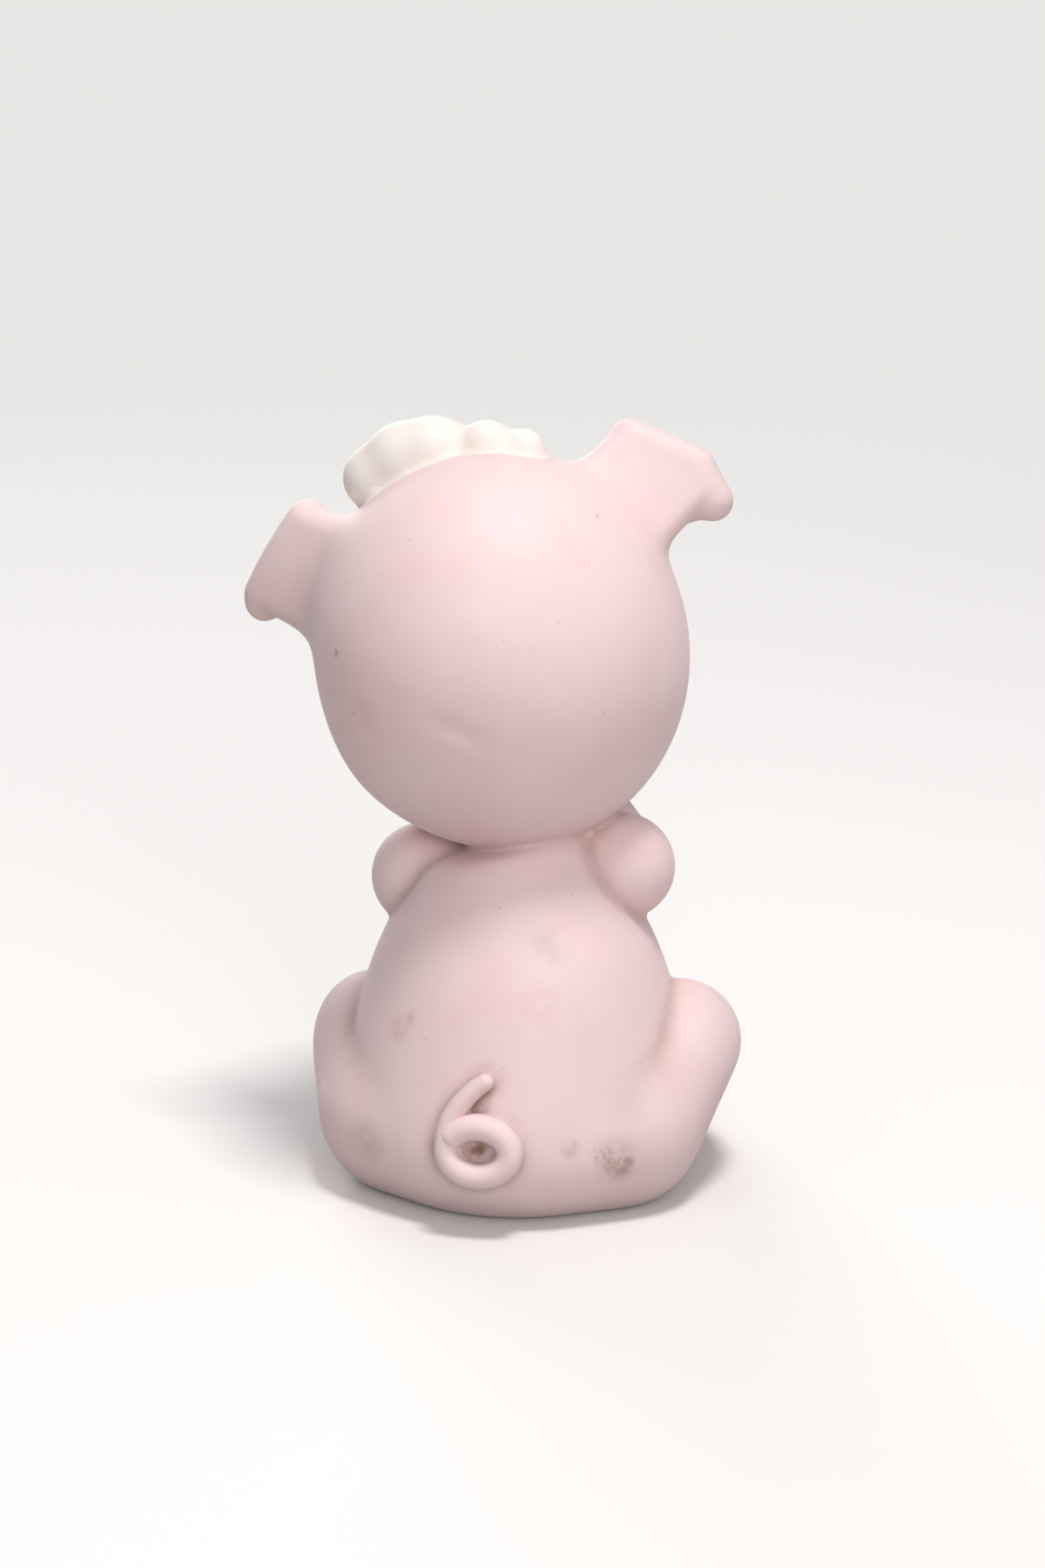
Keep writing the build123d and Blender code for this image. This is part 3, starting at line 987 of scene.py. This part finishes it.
def tail_tree():
    """Nodes that turn a line into a roll of clay with round ends."""
    tree = bpy.data.node_groups.new("clay_roll", "GeometryNodeTree")
    sockets = {}
    tree.interface.new_socket("Line", in_out="INPUT", socket_type="NodeSocketGeometry")
    for name, kind in (
        ("Rings", "NodeSocketInt"),
        ("Sides", "NodeSocketInt"),
        ("Roll radius", "NodeSocketFloat"),
        ("Tip radius", "NodeSocketFloat"),
        ("Taper start", "NodeSocketFloat"),
        ("Clay", "NodeSocketMaterial"),
    ):
        sockets[name] = tree.interface.new_socket(name, in_out="INPUT", socket_type=kind).identifier
    tree.interface.new_socket("Roll", in_out="OUTPUT", socket_type="NodeSocketGeometry")
    given = tree.nodes.new("NodeGroupInput").outputs
    even = node(
        tree, "GeometryNodeResampleCurve", {"Curve": given["Line"], "Count": given["Rings"]}, mode="COUNT",
    )
    run = tree.nodes.new("GeometryNodeSplineParameter").outputs["Length"]
    whole = node(tree, "GeometryNodeSplineLength").outputs["Length"]
    left = calculate(tree, "SUBTRACT", whole, run)
    gone = node(
        tree, "ShaderNodeMapRange", {0: run, 1: given["Taper start"], 2: whole, 3: 0.0, 4: 1.0}
    ).outputs[0]
    thinner = calculate(tree, "SUBTRACT", given["Tip radius"], given["Roll radius"])
    radius = calculate(tree, "ADD", given["Roll radius"], calculate(tree, "MULTIPLY", gone, thinner))
    for distance in (run, left):
        share = calculate(tree, "DIVIDE", calculate(tree, "SUBTRACT", radius, distance), radius)
        share = calculate(tree, "MAXIMUM", share, 0.0)
        squared = calculate(tree, "MULTIPLY", share, share)
        round_end = calculate(tree, "SQRT", calculate(tree, "SUBTRACT", 1.0, squared))
        radius = calculate(tree, "MULTIPLY", radius, calculate(tree, "MAXIMUM", round_end, least_end_share))
    sized = node(tree, "GeometryNodeSetCurveRadius", {"Curve": even.outputs["Curve"], "Radius": radius})
    ring = node(tree, "GeometryNodeCurvePrimitiveCircle", {"Resolution": given["Sides"], "Radius": 1.0})
    skin = node(
        tree, "GeometryNodeCurveToMesh",
        {"Curve": sized.outputs[0], "Profile Curve": ring.outputs["Curve"], "Fill Caps": True},
    )
    if "Scale" in skin.inputs:
        tree.links.new(radius, skin.inputs["Scale"])
    smooth = node(tree, "GeometryNodeSetShadeSmooth", {0: skin.outputs["Mesh"]})
    real = node(tree, "GeometryNodeRealizeInstances", {0: smooth.outputs[0]})
    clad = node(tree, "GeometryNodeSetMaterial", {"Geometry": real.outputs[0], "Material": given["Clay"]})
    result = tree.nodes.new("NodeGroupOutput")
    tree.links.new(clad.outputs["Geometry"], result.inputs["Roll"])
    return tree, sockets


line_data = bpy.data.curves.new("tail_line", "CURVE")
line_data.dimensions = "3D"
spline = line_data.splines.new("POLY")
spline.points.add(len(tail_line))
for point, place in zip(spline.points, [*tail_line[:, :3], tail_end]):
    point.co = (*(place * metres), 1.0)
line_object = bpy.data.objects.new("tail_line", line_data)
bpy.context.scene.collection.objects.link(line_object)
tree, sockets = tail_tree()
roller = line_object.modifiers.new("roll", "NODES")
roller.node_group = tree
for name, value in (
    ("Rings", tail_rings),
    ("Sides", tail_sides),
    ("Roll radius", tail_radius * metres),
    ("Tip radius", tail_tip_radius * metres),
    ("Taper start", tail_taper_start * metres),
    ("Clay", pink_clay),
):
    roller[sockets[name]] = value
bpy.context.view_layer.update()
rolled = line_object.evaluated_get(bpy.context.evaluated_depsgraph_get())
tail_mesh = bpy.data.meshes.new_from_object(rolled)
line_object.modifiers.remove(roller)
bpy.data.objects.remove(line_object)
tail = bpy.data.objects.new("tail_roll", tail_mesh)
bpy.context.scene.collection.objects.link(tail)
pieces["tail_roll"] = tail
tail_mesh.materials.clear()
finish_piece(tail, "tail", pink_clay)


# Dirt and painted shade in the creases
# Wherever two pieces of clay meet, the colour is darkened: partly brown dirt from decades of handling,
# partly painted shade.
crease_width = 1.3
for piece in pieces.values():
    count = len(piece.data.vertices)
    spots = np.empty(count * 3, dtype=np.float32)
    piece.data.vertices.foreach_get("co", spots)
    spots = spots.reshape(-1, 3).astype(float) / metres
    depths = np.sort(np.abs(np.stack([form(spots) for form in forms.values()])), axis=0)
    crease_dirt_and_shade = np.exp(-(depths[0] + depths[1]) / crease_width)
    attribute = piece.data.attributes.new("crease_dirt_and_shade", "FLOAT", "POINT")
    attribute.data.foreach_set("value", crease_dirt_and_shade.astype(np.float32))


# Studio
# A plain pale floor, a soft lamp high overhead, a broad one before the piglet and another behind it.
# Places and sizes in this section are in metres.
floor_half = 4.0
paper_fade_start = 0.10
paper_fade_end = 0.60
sky_share = 0.5
backdrop_pale = srgb(233, 231, 229)
corner_sides = ((-1, -1), (1, -1), (1, 1), (-1, 1))
floor_corners = [(side * floor_half, back * floor_half, 0) for side, back in corner_sides]
floor_mesh = bpy.data.meshes.new("floor")
floor_mesh.from_pydata(floor_corners, [], [(0, 1, 2, 3)])
floor = bpy.data.objects.new("floor", floor_mesh)
bpy.context.scene.collection.objects.link(floor)
floor_paper = bpy.data.materials.new("floor_paper")
floor_paper.use_nodes = True
paper_tree = floor_paper.node_tree
paper = paper_tree.nodes["Principled BSDF"]
paper.inputs["Roughness"].default_value = 0.9
seen = node(paper_tree, "ShaderNodeLightPath")
shown = calculate(paper_tree, "MAXIMUM", seen.outputs["Is Camera Ray"], seen.outputs["Is Glossy Ray"])
shown = calculate(paper_tree, "MAXIMUM", shown, seen.outputs["Is Transmission Ray"])
paper_tone = blend_colour(paper_tree, shown, srgb(150, 146, 144), srgb(240, 238, 236))
paper_tree.links.new(paper_tone, paper.inputs["Base Color"])
floor_where = node(paper_tree, "ShaderNodeTexCoord").outputs["Object"]
reach = node(paper_tree, "ShaderNodeVectorMath", {0: floor_where}, operation="LENGTH").outputs["Value"]
faded = remap(paper_tree, reach, paper_fade_start, paper_fade_end)
far_off = calculate(paper_tree, "MULTIPLY", shown, faded)
far_paper = node(paper_tree, "ShaderNodeEmission", {"Color": backdrop_pale, "Strength": 1.0})
mixed = {0: far_off, 1: paper.outputs["BSDF"], 2: far_paper.outputs["Emission"]}
whole_floor = node(paper_tree, "ShaderNodeMixShader", mixed)
paper_tree.links.new(whole_floor.outputs["Shader"], paper_tree.nodes["Material Output"].inputs["Surface"])
floor_mesh.materials.append(floor_paper)

world = bpy.data.worlds.new("studio")
world.use_nodes = True
bpy.context.scene.world = world
sky_tree = world.node_tree
sky = sky_tree.nodes["Background"]
seen = node(sky_tree, "ShaderNodeLightPath")
sky_strength = calculate(sky_tree, "MAXIMUM", seen.outputs["Is Camera Ray"], sky_share)
sky_tree.links.new(sky_strength, sky.inputs["Strength"])
sky_tone = blend_colour(sky_tree, seen.outputs["Is Camera Ray"], srgb(236, 236, 240), backdrop_pale)
sky_tree.links.new(sky_tone, sky.inputs["Color"])


def lamp(name, place, target, size, power, tone):
    """A square soft lamp that faces a place."""
    data = bpy.data.lights.new(name, "AREA")
    data.shape = "SQUARE"
    data.size = size
    data.energy = power
    data.color = tone
    made = bpy.data.objects.new(name, data)
    made.location = place
    made.rotation_euler = (Vector(place) - Vector(target)).to_track_quat("Z", "Y").to_euler()
    bpy.context.scene.collection.objects.link(made)


overhead_tone = (1.0, 0.985, 0.965)
broad_tone = (1.0, 0.985, 0.975)
lamp("overhead", (-0.12, 0.12, 0.77), (0.0, 0.0, 0.05), size=0.16, power=3.2, tone=overhead_tone)
lamp("fill", (-0.35, 0.75, 0.30), (0.0, 0.0, 0.04), size=0.5, power=2.9, tone=broad_tone)
lamp("front", (0.45, -0.75, 0.35), (0.0, 0.0, 0.04), size=0.5, power=2.9, tone=broad_tone)
